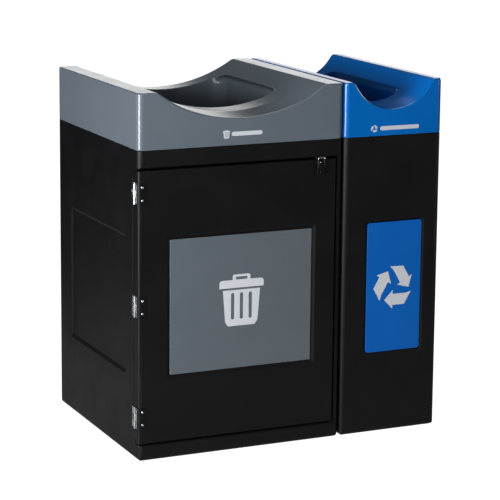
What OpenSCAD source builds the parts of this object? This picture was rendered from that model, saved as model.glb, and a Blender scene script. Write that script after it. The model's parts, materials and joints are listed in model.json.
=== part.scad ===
// Two-unit waste station of moulded plastic: a wide trash cabinet with a front door, joined to a
// narrow recycling cabinet. Each has a scooped hood over a rigid liner.
// Millimetres, +Z up, the fronts face -Y, the origin is the middle of the footprint on the floor.

/* [Cabinets] */
// Width of the trash cabinet
trash_w = 643; // [590:1:780]
// Width of the recycling cabinet
recycle_w = 325; // [300:1:400]
// Depth of both cabinets, front to back
depth = 668; // [600:1:810]
// Overall height to the top of the hoods
height = 1067; // [960:1:1290]
// Wall thickness of the moulded cabinets
wall = 6; // [4.5:0.5:7.5]
// Gap between the two cabinets
unit_gap = 4; // [3:0.5:8]
// Radius of the upright corners
corner_r = 16; // [8:0.5:19]
// Height of the closed double floor, which is also the plinth below the door
plinth_h = 48; // [40:1:60]
// Width of the trash cabinet's inner top rim
trash_rim = 30; // [26:1:36]
// Width of the recycling cabinet's inner top rim
recycle_rim = 14; // [10:1:16]
// Radius of the cabinets' lower edges
floor_r = 18; // [8:1:21]
// Radius of the cabinets' upper edges, at the seam under the hoods
seam_r = 3; // [1:0.5:4]

/* [Side panels] */
// Distance of the sunk side panels from the front
panel_front = 95; // [80:1:120]
// Distance of the sunk side panels from the back
panel_back = 108; // [90:1:130]
// Height of the side panels' lower edge
panel_low = 241; // [200:1:280]
// Distance of the side panels' upper edge below the hood
panel_top = 254.5; // [210:0.5:300]
// Depth of the side panels
panel_deep = 6; // [3:0.5:8]

/* [Hoods] */
// Height of the hoods
hood_h = 162.5; // [140:0.5:195]
// Wall thickness of the hoods
hood_wall = 5; // [4:0.5:7]
// Depth of the scoops below the hoods' top
scoop_deep = 77; // [60:1:92]
// Width of the flat strips beside the trash scoop
trash_flat = 58.5; // [45:0.5:75]
// Width of the flat strips beside the recycling scoop
recycle_flat = 32; // [24:0.5:38]
// Width of the scoop left on each side of the trash throat
trash_shoulder = 63; // [50:1:75]
// Width of the scoop left on each side of the recycling throat
recycle_shoulder = 37; // [31:1:50]
// Distance of the trash throat from the front
trash_throat_front = 185; // [150:1:220]
// Distance of the recycling throat from the front
recycle_throat_front = 137; // [115:1:165]
// Distance of the throats from the back
throat_back = 68; // [60:1:85]
// Corner radius of the trash throat
trash_throat_r = 45; // [30:1:54]
// Corner radius of the recycling throat
recycle_throat_r = 30; // [25:1:36]

/* [Door] */
// Thickness of the door
door_t = 36; // [30:1:43]
// Gap around the door
door_gap = 4.5; // [3.5:0.5:6]
// Radius of the door's upright corner on the hinge side
door_corner_r = 8; // [7:0.5:10]
// Width of the jamb on the latch side
jamb_w = 17; // [14:1:21]
// Height of the header between the door and the hood
header_h = 51.5; // [43:0.5:60]
// Radius of the door's front edges
door_edge_r = 5; // [2:0.5:7]
// Radius of the header's lower edge and the plinth's upper edge
lead_r = 8; // [4:1:12]
// Radius of the rebate's inner top and bottom corners
rebate_r = 38; // [34:1:40]
// Width of the flange that the door closes against
flange_w = 24; // [20:1:29]

/* [Signs] */
// Width of the trash sign
trash_sign_w = 446; // [370:1:480]
// Width of the recycling sign
recycle_sign_w = 181; // [150:1:200]
// Height of both signs
sign_h = 395; // [330:1:470]
// Height of the signs' centres above the floor
sign_z = 447.5; // [400:0.5:480]
// Sideways shift of the recycling sign from the middle
recycle_sign_shift = 11; // [0:1:12]
// Thickness of the signs
sign_t = 4; // [2:0.5:5]
// Thickness of the foam tape behind the signs
tape_t = 1; // [0.5:0.5:2]

/* [Liners] */
// Distance of the liners' rims below the hoods
liner_top = 96.5; // [80:0.5:116]
// Clearance beside the trash liner in the doorway
trash_liner_gap = 33; // [27:1:40]
// Clearance beside the recycling liner in the cabinet's mouth
recycle_liner_gap = 5.5; // [4.5:0.5:7]
// Clearance in front of and behind the trash liner
trash_liner_end = 25; // [20:1:30]
// Clearance in front of and behind the recycling liner
recycle_liner_end = 25; // [20:1:30]
// Wall thickness of the liners
liner_wall = 3; // [2:0.5:4]

/* [Hinges] */
// Height of a door hinge
hinge_h = 60; // [50:1:72]
// Radius of the hinge pins
hinge_pin_r = 1.75; // [1.5:0.05:2]
// Outer radius of the hinge knuckles
barrel_r = 3.5; // [3.2:0.1:4]
// Thickness of the hinge leaves
leaf_t = 2; // [1.5:0.25:2.2]
// Distance of the door's hinge axis behind its front face
hinge_setback = 17; // [16:0.5:20]
// Width of the door leaves across the door's front
door_leaf_w = 24.5; // [22:0.5:28]
// Distance of the top door hinge's centre below the door's top
hinge_top_in = 65.5; // [60:0.5:80]
// Distance of the bottom door hinge's centre above the door's bottom
hinge_low_in = 77.5; // [65:0.5:93]
// Distance of the hood hinges' centres from the cabinet's sides
hood_hinge_in = 81; // [68:1:97]
// Length of a hood hinge
hood_hinge_l = 70; // [60:1:80]
// Height of the hood hinges' leaves
hood_leaf_h = 40; // [34:1:46]

/* [Latch] */
// Distance of the latch's centre from the door's free edge
latch_inset = 51; // [40:1:60]
// Height of the latch pivot below the header
latch_drop = 21; // [20:0.5:24]
// Radius of the latch's pivot pin
latch_pin_r = 1.5; // [1.2:0.1:1.7]

/* [Fasteners] */
// Distance of the joining bolts from the front and the back
bolt_in = 134; // [110:1:160]
// Height of the lower joining bolts
bolt_low = 150; // [125:1:180]
// Distance of the upper joining bolts below the hood
bolt_top = 127; // [105:1:155]
// Radius of the bolts that join the cabinets
joint_bolt_r = 4; // [3:0.5:5]
// Radius of the small screws
screw_r = 1.95; // [1.5:0.05:2.2]
// Radius of the screws that hold the trash hood
hood_screw_r = 2.5; // [2:0.1:3]

/* [Hidden] */
$fn = 48;
eps = 0.01;
over = 1; // how far a cutter runs past the face that it opens
run_gap = 0.05; // radial clearance of a pin in its bore
move_gap = 0.3; // clearance between moving surfaces
bolt_gap = 0.2; // radial clearance of a bolt in its hole
icon_t = 0.6; // thickness of the printed film
rim_t = 6; // thickness of the cabinets' top rims
body_h = height - hood_h;
header_z = body_h - header_h;
rebate_deep = door_t + door_gap;
door_w = trash_w - jamb_w - door_gap;
door_z = plinth_h + door_gap;
door_h = header_z - plinth_h - 2 * door_gap;
door_edge = 26; // width of the solid border around the door's hollow
door_screw_x = door_corner_r + 5; // hinge screws' distance from the door's hinge side
body_leaf_w = wall + flange_w - 2;
body_screw_x = wall + flange_w / 2;
hinge_screw_share = 0.31; // a hinge screw's distance from the hinge's middle, as a share of its height
hinge_screw_l = 12; // length of the hinge screws
hinge_screw_dz = [-hinge_screw_share * hinge_h, hinge_screw_share * hinge_h];
hood_screw_share = 0.6; // a hood hinge screw's distance from the hinge line, as a share of the leaf
pin_head = 1.5; // thickness of the hinge pins' heads
pin_head_r = 0.9; // how far the heads stand out round the pins
leaf_step = 1; // flat leaf left between a knuckle and the rest of its leaf
screw_head = 2; // thickness of the pan heads
screw_end = 3; // how far a short screw runs past its wall
barrel_off = barrel_r + move_gap; // hinge axis to the face that the leaf lies on
hinge_reach = barrel_off + barrel_r;
bail_y = -8.5; // the bail's pivot, in front of the door
lever_lip = 3.6; // how far the lever stands out from the bail pivot
latch_reach = lever_lip - bail_y;
overall_w = trash_w + unit_gap + recycle_w;
x0 = -(overall_w - hinge_reach) / 2;
y0 = -(depth + hinge_reach - latch_reach) / 2;
recycle_x = trash_w + unit_gap;
hinge_low_z = door_z + hinge_low_in;
hinge_top_z = door_z + door_h - hinge_top_in;
hinge_z = [hinge_low_z, (hinge_low_z + hinge_top_z) / 2, hinge_top_z];
latch_x = door_w - latch_inset;
latch_z = header_z - latch_drop;
bail_z = latch_z - 8;
latch_base_w = 22;
latch_base_h = 38;
latch_base_z = latch_z - 9;
latch_screw_dz = 15; // latch screws' distance from the base's middle
latch_screw_l = 6; // length of the latch screws' drills, from just in front of the door
latch_screw_head = 0.8; // thickness of the latch screws' flat heads
ear_in = 6.6; // half the distance between the base's ears
ear_t = 1.6;
ear_r = 4;
lever_half = 6; // half the width of the lever
lever_eye_r = 3.6;
lever_boss_r = 2.8;
keeper_t = 2;
keeper_w = 24;
keeper_back = 28; // how far back the keeper reaches under the header
keeper_front = -2; // the keeper's full width stops behind the bail's wires
keeper_lip_y = -8;
keeper_pad_y = 10; // front of the pad between the keeper and the header
keeper_screw_y = 20;
keeper_screw_x = 6;
bail_bar_r = 2.4;
bail_wire_r = 1.6;
bail_end_r = 1.2;
bail_end_in = 2.5; // half the gap between the wires' ends inside the lever
bail_half = 10.2; // half the distance between the bail's wires
keeper_lip_w = 2 * (bail_half - bail_wire_r - 2 * move_gap); // the keeper's lip passes between the wires
bar_y = -6;
bar_z = header_z - keeper_t + move_gap + bail_bar_r;
pivot_y = -6;
liner_z = plinth_h;
recess_margin = 13; // ledge around the trash sign
recess_deep = sign_t + tape_t + 1;
slot_margin = 9; // ledge around the recycling sign
slot_deep = sign_t + tape_t;
trash_recess_w = trash_sign_w + 2 * recess_margin;
trash_recess_h = sign_h + 2 * recess_margin;
recess_bevel = 11; // how much the trash sign's recess narrows towards its floor
recess_r = 6;
slot_bevel = 8; // how much the recycling sign's slot narrows towards its floor
panel_bevel = 8; // how much the side panels narrow towards their floor
panel_r = 14;
trash_sign_r = 3;
recycle_sign_r = 8;
tape_w = 20; // width of the foam tape strips
chute_up = hood_wall; // how far the chutes end above the hoods' rims
hood_boss_r = 8.5;
hood_boss_h = 30;
hood_screw_head = 3; // thickness of the hood screws' heads
hood_screw_free = 4; // depth of a boss left solid over its screw hole
bolt_y = [bolt_in, depth - bolt_in];
bolt_z = [bolt_low, body_h - bolt_top];
hood_screw_in = 13; // hood screws' distance from the outer faces
hood_screw_x = [hood_screw_in, trash_w - hood_screw_in];
hood_screw_y = [hood_screw_in, depth - hood_screw_in];
hood_hinge_x = [hood_hinge_in, recycle_w - hood_hinge_in];
spacer_r = 12; // radius of the spacers between the cabinets
hex_r = 1.85 * joint_bolt_r; // corner radius of the bolt heads and nuts
bolt_head = 5;
nut_t = 6.5;
bolt_end = 12; // how far the bolts run past the second wall
jamb_flange = 10; // how far the flange stands in from the jamb
doorway_x = wall + flange_w;
doorway_w = trash_w - jamb_w - jamb_flange - doorway_x;
panel_h = body_h - panel_low - panel_top;
liner_h = body_h - liner_z - liner_top;
cavity_front = rebate_deep + wall;
trash_liner_w = doorway_w - 2 * trash_liner_gap;
trash_liner_d = depth - wall - cavity_front - 2 * trash_liner_end;
recycle_liner_w = recycle_w - 2 * recycle_rim - 2 * recycle_liner_gap;
recycle_liner_d = depth - 2 * wall - slot_deep - 2 * recycle_liner_end;
trash_throat = trash_w - 2 * trash_flat - 2 * trash_shoulder;
recycle_throat = recycle_w - 2 * recycle_flat - 2 * recycle_shoulder;
recycle_sign_x = recycle_x + recycle_w / 2 + recycle_sign_shift;
liner_lip = 10; // width of the liners' rolled rims
liner_lip_h = 8;
liner_r = 40;
trash_draft = 24; // how much the trash liner narrows on each side towards its floor
recycle_draft = 20;
sign_bin_h = 152; // height of the bin pictogram on the sign
sign_bin_up = 4; // its distance above the sign's centre
sign_loop = 140; // size of the arrows on the recycling sign
hood_mark = 24; // size of the marks on the hoods
bar_h = 12;
trash_bar_w = 96;
recycle_bar_w = 130;
mark_gap = 8; // between a hood's mark and its bar
trash_mark_z = 33.5; // height of the marks above the hoods' rims
recycle_mark_z = 23;
trash_mark_x = 0.47 * trash_w;

plastic_black = "#1b1c1e";
plastic_grey = "#5f6870";
plastic_blue = "#0057a0";
print_white = "#d8dae2";
zinc = "#c4c6c8";
steel_black = "#26272a";
liner_grey = "#3a3d40";

// ---- shared shapes ----

// Radius of an arc from its chord and its depth
function arc_r(chord, sag) = (chord * chord / 4 + sag * sag) / (2 * sag);

// Places a shape drawn from the trash cabinet's front-left floor corner
module placed() {
    translate([x0, y0, 0]) children();
}

// Rectangle with round corners, its low corner at the origin
module rounded(w, d, r) {
    translate([r, 0]) square([w - 2 * r, d]);
    translate([0, r]) square([w, d - 2 * r]);
    for (x = [r, w - r], y = [r, d - r]) translate([x, y]) circle(r);
}

// Upright block with round corners
module block(w, d, h, r) {
    linear_extrude(h) rounded(w, d, r);
}

// Upright outline with one radius at its low corners and another at its high ones
module outline(w, h, low_r, high_r) {
    translate([0, low_r]) square([w, h - low_r - high_r]);
    translate([low_r, 0]) square([w - 2 * low_r, h / 2]);
    translate([high_r, h / 2]) square([w - 2 * high_r, h / 2]);
    for (x = [low_r, w - low_r]) translate([x, low_r]) circle(low_r);
    for (x = [high_r, w - high_r]) translate([x, h - high_r]) circle(high_r);
}

// Turns a profile drawn as depth by height into a bar along X
module along_x(length) {
    rotate([90, 0, 90]) linear_extrude(length) children();
}

// Cylinder along X from its left end
module rod_x(r, length) {
    rotate([0, 90, 0]) cylinder(r = r, h = length);
}

// Cylinder from the front face backwards
module rod_y(r, length) {
    rotate([-90, 0, 0]) cylinder(r = r, h = length);
}

// Bevelled pocket: mouth at z = 0, floor at z = -deep, centred
module pocket(w, h, deep, bevel, r) {
    hull() {
        translate([-w / 2, -h / 2, 0]) block(w, h, over, r, $fn = 32);
        translate([bevel - w / 2, bevel - h / 2, -deep])
            block(w - 2 * bevel, h - 2 * bevel, over, r, $fn = 32);
    }
}

// Pocket in a side wall, mirrored for the right-hand side
module side_pocket(w, grow) {
    mid_y = (panel_front + depth - panel_back) / 2;
    size_y = depth - panel_front - panel_back + 2 * grow;
    for (side = [0, 1])
        translate([side * w, mid_y, panel_low + panel_h / 2])
            mirror([side, 0, 0])
                rotate([0, -90, 0])
                    pocket(panel_h + 2 * grow, size_y, panel_deep + grow, panel_bevel, panel_r);
}

// Pocket in a front face, drawn at its centre
module front_pocket(w, h, deep, bevel, r) {
    rotate([90, 0, 0]) pocket(w, h, deep, bevel, r);
}

// Moulded cabinet with a double floor, a hollow inside, a rim around its open top, and bolt holes
// through the side wall that starts at bolt_x
module cabinet(w, front, rim, bolt_x) {
    inner_w = w - 2 * wall;
    inner_d = depth - 2 * wall;
    difference() {
        intersection() {
            block(w, depth, body_h, corner_r);
            along_x(w) outline(depth, body_h, floor_r, seam_r);
            translate([0, depth, 0]) rotate([90, 0, 0])
                linear_extrude(depth) outline(w, body_h, floor_r, seam_r);
        }
        side_pocket(w, 0);
        translate([wall, wall, wall]) cube([inner_w, inner_d, plinth_h - 2 * wall]);
        difference() {
            translate([wall, front, plinth_h])
                cube([inner_w, depth - wall - front, body_h - plinth_h - rim_t]);
            side_pocket(w, wall);
        }
        translate([rim, rim, body_h - rim_t - over]) cube([w - 2 * rim, depth - 2 * rim, rim_t + 2 * over]);
        for (y = bolt_y, z = bolt_z)
            translate([bolt_x - over, y, z]) rod_x(joint_bolt_r + bolt_gap, wall + 2 * over);
    }
}

// Depth by height outline whose two rear corners are round
module rear_round(deep, low, high, r) {
    translate([-over, low]) square([deep - r + over, high - low]);
    translate([-over, low + r]) square([deep + over, high - low - 2 * r]);
    for (z = [low + r, high - r]) translate([deep - r, z]) circle(r);
}

// Cutter that rounds a front edge: the corner of a square outside a circle, turned down if flip is 1
module edge_cut(r, flip) {
    mirror([0, flip]) difference() {
        translate([-over, -over]) square([r + over, r + over]);
        translate([r, r]) circle(r);
    }
}

// Outer form of a hood: a block less the scoop's cylinder
module hood_form(w, flat, inset, r) {
    scoop_r = arc_r(w - 2 * flat, scoop_deep);
    difference() {
        translate([inset, inset, -eps * inset])
            block(w - 2 * inset, depth - 2 * inset, hood_h - inset + eps * inset, r);
        translate([w / 2, -over, hood_h - scoop_deep + scoop_r])
            rod_y(scoop_r + inset, depth + 2 * over);
    }
}

// Hood with its throat and a short chute below it
module hood(w, flat, throat_w, throat_front, throat_r) {
    throat_d = depth - throat_front - throat_back;
    duct_w = throat_w + 2 * hood_wall;
    duct_d = throat_d + 2 * hood_wall;
    difference() {
        union() {
            difference() {
                hood_form(w, flat, 0, corner_r);
                hood_form(w, flat, hood_wall, corner_r - hood_wall + over);
            }
            intersection() {
                hood_form(w, flat, 0, corner_r);
                translate([(w - duct_w) / 2, throat_front - hood_wall, chute_up])
                    block(duct_w, duct_d, hood_h, throat_r + hood_wall);
            }
        }
        translate([(w - throat_w) / 2, throat_front, -over])
            block(throat_w, throat_d, hood_h + 2 * over, throat_r);
    }
}

// Tapered rigid liner with a rolled rim, its low corner at the origin
module liner(w, d, draft) {
    top_w = w - 2 * liner_lip;
    top_d = d - 2 * liner_lip;
    low = liner_lip + draft;
    inner_r = liner_r - 2;
    low_w = top_w - 2 * draft;
    low_d = top_d - 2 * draft;
    difference() {
        union() {
            hull() {
                translate([low, low, 0])
                    block(low_w, low_d, over, liner_r, $fn = 32);
                translate([liner_lip, liner_lip, liner_h - over])
                    block(top_w, top_d, over, liner_r, $fn = 32);
            }
            translate([0, 0, liner_h - liner_lip_h]) block(w, d, liner_lip_h, liner_r + liner_lip_h);
        }
        hull() {
            translate([low + liner_wall, low + liner_wall, liner_wall])
                block(low_w - 2 * liner_wall, low_d - 2 * liner_wall, over, inner_r, $fn = 32);
            translate([liner_lip + liner_wall, liner_lip + liner_wall, liner_h])
                block(top_w - 2 * liner_wall, top_d - 2 * liner_wall, over, inner_r, $fn = 32);
        }
    }
}

// Flat sign plate, centred, its front face on y = 0
module sign(w, r) {
    rotate([-90, 0, 0]) translate([-w / 2, -sign_h / 2, 0]) block(w, sign_h, sign_t, r);
}

// Strips of foam tape behind a sign
module tapes(w) {
    for (side = [-1, 1])
        translate([side * (w / 2 - 2 * tape_w) - tape_w / 2, sign_t, -sign_h / 2 + tape_w])
            cube([tape_w, tape_t, sign_h - 2 * tape_w]);
}

// Film cut to a flat outline, its back on y = 0, drawn as X by Z
module film() {
    rotate([90, 0, 0]) linear_extrude(icon_t) children();
}

// Waste bin pictogram of a given height, centred
module bin_mark(h) {
    w = 0.92 * h;
    cup_top = 0.20 * h;
    cup_low = -0.5 * h;
    slot = 0.075 * w;
    difference() {
        union() {
            translate([-0.2 * w, 0.40 * h]) rounded(0.4 * w, 0.1 * h, 0.045 * h);
            translate([-0.2 * w, 0.38 * h]) square([0.4 * w, 0.05 * h]);
        }
        translate([-0.13 * w, 0.40 * h]) square([0.26 * w, 0.055 * h]);
    }
    translate([-w / 2, 0.24 * h]) square([w, 0.09 * h]);
    translate([-w / 2, 0.24 * h]) rounded(w, 0.155 * h, 0.06 * h);
    difference() {
        polygon([
            [-0.42 * w, cup_top], [0.42 * w, cup_top], [0.365 * w, cup_low + 0.08 * h],
            [0.30 * w, cup_low], [-0.30 * w, cup_low], [-0.365 * w, cup_low + 0.08 * h]
        ]);
        for (x = [-0.2 * w, 0, 0.2 * w]) {
            translate([x - slot / 2, -0.34 * h]) square([slot, 0.45 * h]);
            for (z = [-0.34 * h, 0.11 * h]) translate([x, z]) circle(slot / 2);
        }
    }
}

// Three plain arrows that chase each other round a triangle, centred
module loop_mark(size) {
    side = 0.40 * size;
    band = 0.24 * size;
    for (turn = [0, 120, 240])
        rotate(turn) translate([0, -0.29 * size]) {
            polygon([
                [side + 0.02 * size, band * 0.62], [side - 0.14 * size, -band / 2],
                [-0.02 * size, -band / 2], [-0.02 * size, -band * 0.85],
                [-0.22 * size, 0],
                [-0.02 * size, band * 0.85], [-0.02 * size, band / 2], [side - 0.10 * size, band / 2]
            ]);
        }
}

// Plain rounded bar
module bar_mark(w, h) {
    translate([-w / 2, -h / 2]) rounded(w, h, h / 2 - eps);
}

// Pan-head screw along +Y, its head in front of y = 0
module pan_screw_y(length) {
    rod_y(screw_r, length);
    translate([0, -screw_head, 0]) rod_y(2 * screw_r, screw_head);
}

// ---- hinges ----

// Knuckles of one hinge leaf along Z, centred on the axis. The leaf lies towards -Y, and its
// back is against the plane x = barrel_off, moved off it by `clear`.
// pieces is a list of [low end, length].
module knuckles(pieces, clear) {
    for (p = pieces)
        translate([0, 0, p[0]])
            difference() {
                union() {
                    cylinder(r = barrel_r, h = p[1]);
                    translate([barrel_off - leaf_t - clear, -barrel_r - 2, 0])
                        cube([leaf_t, barrel_r + 2, p[1]]);
                }
                translate([0, 0, -over]) cylinder(r = hinge_pin_r + run_gap, h = p[1] + 2 * over);
            }
}

// Middle knuckle, and the two outer ones, of a hinge of length l
function middle_knuckle(l) = [[-l / 6, l / 3]];
function outer_knuckles(l) = [[-l / 2, l / 3 - move_gap], [l / 6 + move_gap, l / 3 - move_gap]];

// Headed pin through a hinge of length l
module hinge_pin(l) {
    translate([0, 0, -l / 2]) cylinder(r = hinge_pin_r, h = l);
    for (z = [-l / 2 - pin_head, l / 2])
        translate([0, 0, z]) cylinder(r = hinge_pin_r + pin_head_r, h = pin_head);
}

// The door leaf wraps the door's corner and is screwed to its front
module door_leaf() {
    r = door_corner_r;
    translate([-barrel_off, hinge_setback, 0]) knuckles(middle_knuckle(hinge_h), 0);
    difference() {
        union() {
            translate([-leaf_t, r, -hinge_h / 2])
                cube([leaf_t, hinge_setback - barrel_r - leaf_step - r, hinge_h]);
            translate([r, -leaf_t, -hinge_h / 2]) cube([door_leaf_w - r, leaf_t, hinge_h]);
            translate([r, r, -hinge_h / 2])
                rotate_extrude(angle = 90, start = 180) translate([r, 0]) square([leaf_t, hinge_h]);
        }
        for (dz = hinge_screw_dz)
            translate([door_screw_x, -leaf_t - over, dz]) rod_y(screw_r + run_gap, leaf_t + 2 * over);
    }
}

// The body leaf runs back along the door's side and turns in behind it
module body_leaf() {
    x = -leaf_t - move_gap;
    back = rebate_deep;
    translate([-barrel_off, hinge_setback, 0])
        mirror([0, 1, 0]) knuckles(outer_knuckles(hinge_h), move_gap);
    for (p = outer_knuckles(hinge_h))
        translate([x, hinge_setback + barrel_r + leaf_step, p[0]])
            cube([leaf_t, back - hinge_setback - barrel_r - leaf_step, p[1]]);
    difference() {
        translate([x, back - leaf_t, -hinge_h / 2]) cube([body_leaf_w - x, leaf_t, hinge_h]);
        for (dz = hinge_screw_dz)
            translate([body_screw_x, back - leaf_t - over, dz]) rod_y(screw_r + run_gap, leaf_t + 2 * over);
    }
}

// Hood hinge in its own frame: axis along X, pins and leaves on the back face
module hood_hinge_at(i) {
    translate([recycle_x + hood_hinge_x[i], depth + barrel_off, body_h]) rotate([0, 90, 0]) children();
}

// Flat leaf above or below the hood's hinge line, with knuckles
module hood_leaf(pieces, up) {
    start = barrel_r + leaf_step;
    translate([recycle_x, depth, body_h])
        for (x = hood_hinge_x) translate([x, 0, 0]) mirror([0, 0, up ? 0 : 1]) {
            for (p = pieces)
                translate([p[0], barrel_off, 0])
                    rotate([0, 90, 0])
                        difference() {
                            union() {
                                cylinder(r = barrel_r, h = p[1]);
                                translate([-start, -barrel_off, 0]) cube([start, leaf_t, p[1]]);
                            }
                            translate([0, 0, -over]) cylinder(r = hinge_pin_r + run_gap, h = p[1] + 2 * over);
                        }
            difference() {
                translate([-hood_hinge_l / 2, 0, start]) cube([hood_hinge_l, leaf_t, hood_leaf_h - start]);
                for (side = [-1, 1])
                    translate([side * hood_hinge_l / 3, -over, hood_screw_share * hood_leaf_h])
                        rod_y(screw_r + run_gap, leaf_t + 2 * over);
            }
        }
}

// Screws of the hood hinges, with holes of the same places
module hood_hinge_places(up) {
    dz = hood_screw_share * hood_leaf_h;
    for (x = hood_hinge_x, side = [-1, 1])
        translate([recycle_x + x + side * hood_hinge_l / 3, depth, body_h + (up ? dz : -dz)]) children();
}

// ---- trash unit ----

module trash_body()
    color(plastic_black) placed()
        difference() {
            cabinet(trash_w, cavity_front, trash_rim, trash_w - wall);
            translate([-over, 0, 0]) along_x(trash_w - jamb_w + over) {
                rear_round(rebate_deep, plinth_h, header_z, rebate_r);
                translate([0, header_z]) edge_cut(lead_r, 0);
                translate([0, plinth_h]) edge_cut(lead_r, 1);
            }
            translate([doorway_x, -over, plinth_h])
                cube([doorway_w, cavity_front + 2 * over, header_z - plinth_h]);
            translate([wall, wall, header_z + wall])
                cube([trash_w - 2 * wall, rebate_deep + over, body_h - header_z - wall - rim_t]);
            for (x = hood_screw_x, y = hood_screw_y)
                translate([x, y, body_h - rim_t - over])
                    cylinder(r = hood_screw_r + bolt_gap, h = rim_t + 2 * over);
            for (z = hinge_z, dz = hinge_screw_dz)
                translate([body_screw_x, rebate_deep - over, z + dz]) rod_y(screw_r, wall + 2 * over);
            for (side = [-1, 1])
                translate([latch_x + side * keeper_screw_x, keeper_screw_y, header_z - over])
                    cylinder(r = screw_r, h = wall + 2 * over);
        }

module trash_hood()
    color(plastic_grey) placed() translate([0, 0, body_h])
        difference() {
            union() {
                hood(trash_w, trash_flat, trash_throat, trash_throat_front, trash_throat_r);
                intersection() {
                    hood_form(trash_w, trash_flat, 0, corner_r);
                    for (x = hood_screw_x, y = hood_screw_y)
                        translate([x, y, 0]) cylinder(r = hood_boss_r, h = hood_boss_h);
                }
            }
            for (x = hood_screw_x, y = hood_screw_y)
                translate([x, y, -over]) cylinder(r = hood_screw_r, h = hood_boss_h - hood_screw_free + over);
        }

module hood_screws()
    color(zinc) placed()
        for (x = hood_screw_x, y = hood_screw_y)
            translate([x, y, body_h - rim_t]) {
                cylinder(r = hood_screw_r - run_gap, h = rim_t + hood_boss_h - 2 * hood_screw_free);
                translate([0, 0, -hood_screw_head]) cylinder(r = 2 * hood_screw_r, h = hood_screw_head);
            }

module trash_door()
    color(plastic_black) placed()
        difference() {
            intersection() {
                along_x(door_w) {
                    rear_round(door_t, door_z, door_z + door_h, rebate_r - door_gap);
                }
                along_x(door_w) translate([0, door_z]) rounded(2 * door_t, door_h, door_edge_r);
                linear_extrude(height) {
                    translate([door_corner_r, 0]) square([door_w - door_corner_r - door_edge_r, door_t]);
                    translate([0, door_corner_r]) square([door_w / 2, door_t - door_corner_r]);
                    translate([door_w / 2, door_edge_r]) square([door_w / 2, door_t - door_edge_r]);
                    translate([door_corner_r, door_corner_r]) circle(door_corner_r);
                    translate([door_w - door_edge_r, door_edge_r]) circle(door_edge_r);
                }
            }
            translate([trash_w / 2, 0, sign_z])
                front_pocket(trash_recess_w, trash_recess_h, recess_deep, recess_bevel, recess_r);
            difference() {
                translate([door_edge, wall, door_z + door_edge])
                    cube([door_w - 2 * door_edge, door_t - 2 * wall, door_h - 2 * door_edge]);
                translate([trash_w / 2, 0, sign_z])
                    front_pocket(trash_recess_w + 2 * wall, trash_recess_h + 2 * wall, recess_deep + wall,
                        recess_bevel, recess_r);
            }
            for (z = hinge_z, dz = hinge_screw_dz)
                translate([door_screw_x, -over, z + dz]) rod_y(screw_r, hinge_screw_l + over);
            for (side = [-1, 1])
                translate([latch_x, -over, latch_base_z + side * latch_screw_dz])
                    rod_y(screw_r, latch_screw_l);
        }

module trash_sign()
    color(plastic_grey) placed()
        translate([trash_w / 2, recess_deep - sign_t - tape_t, sign_z]) sign(trash_sign_w, trash_sign_r);

module trash_sign_tapes()
    color(steel_black) placed()
        translate([trash_w / 2, recess_deep - sign_t - tape_t, sign_z]) tapes(trash_sign_w);

module trash_sign_icon()
    color(print_white) placed()
        translate([trash_w / 2, recess_deep - sign_t - tape_t, sign_z + sign_bin_up])
            film() bin_mark(sign_bin_h);

module trash_hood_icon()
    color(print_white) placed()
        translate([trash_mark_x, 0, body_h + trash_mark_z]) film() {
            translate([-trash_bar_w / 2 - mark_gap + hood_mark, 0]) bin_mark(hood_mark);
            translate([trash_bar_w / 3, 0]) bar_mark(trash_bar_w, bar_h);
        }

module trash_liner()
    color(liner_grey) placed()
        translate([doorway_x + trash_liner_gap, cavity_front + trash_liner_end, liner_z])
            liner(trash_liner_w, trash_liner_d, trash_draft);

module door_hinge_leaves_door()
    color(steel_black) placed()
        for (z = hinge_z) translate([0, 0, z]) door_leaf();

module door_hinge_leaves_body()
    color(steel_black) placed()
        for (z = hinge_z) translate([0, 0, z]) body_leaf();

module door_hinge_pins()
    color(zinc) placed()
        for (z = hinge_z) translate([-barrel_off, hinge_setback, z]) hinge_pin(hinge_h);

module door_screws()
    color(zinc) placed()
        for (z = hinge_z, dz = hinge_screw_dz)
            translate([door_screw_x, -leaf_t, z + dz]) pan_screw_y(hinge_screw_l);

module body_screws()
    color(zinc) placed()
        for (z = hinge_z, dz = hinge_screw_dz)
            translate([body_screw_x, rebate_deep - leaf_t, z + dz]) rod_y(screw_r, leaf_t + wall + screw_end);

// ---- latch ----

module latch_base()
    color(steel_black) placed()
        difference() {
            union() {
                translate([latch_x - latch_base_w / 2, -leaf_t, latch_base_z - latch_base_h / 2])
                    cube([latch_base_w, leaf_t, latch_base_h]);
                for (s = [0, 1])
                    translate([latch_x, 0, 0]) mirror([s, 0, 0]) translate([ear_in, 0, 0]) {
                        translate([0, pivot_y, latch_z]) rod_x(ear_r, ear_t);
                        translate([0, pivot_y, latch_z - ear_r]) cube([ear_t, -pivot_y, 2 * ear_r]);
                    }
            }
            translate([latch_x - latch_base_w, pivot_y, latch_z])
                rod_x(latch_pin_r + run_gap, 2 * latch_base_w);
            for (side = [-1, 1])
                translate([latch_x, -leaf_t - over, latch_base_z + side * latch_screw_dz])
                    rod_y(screw_r + run_gap, leaf_t + 2 * over);
        }

module latch_pin()
    color(zinc) placed()
        translate([latch_x - ear_in - ear_t, pivot_y, latch_z]) rod_x(latch_pin_r, 2 * (ear_in + ear_t));

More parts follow.
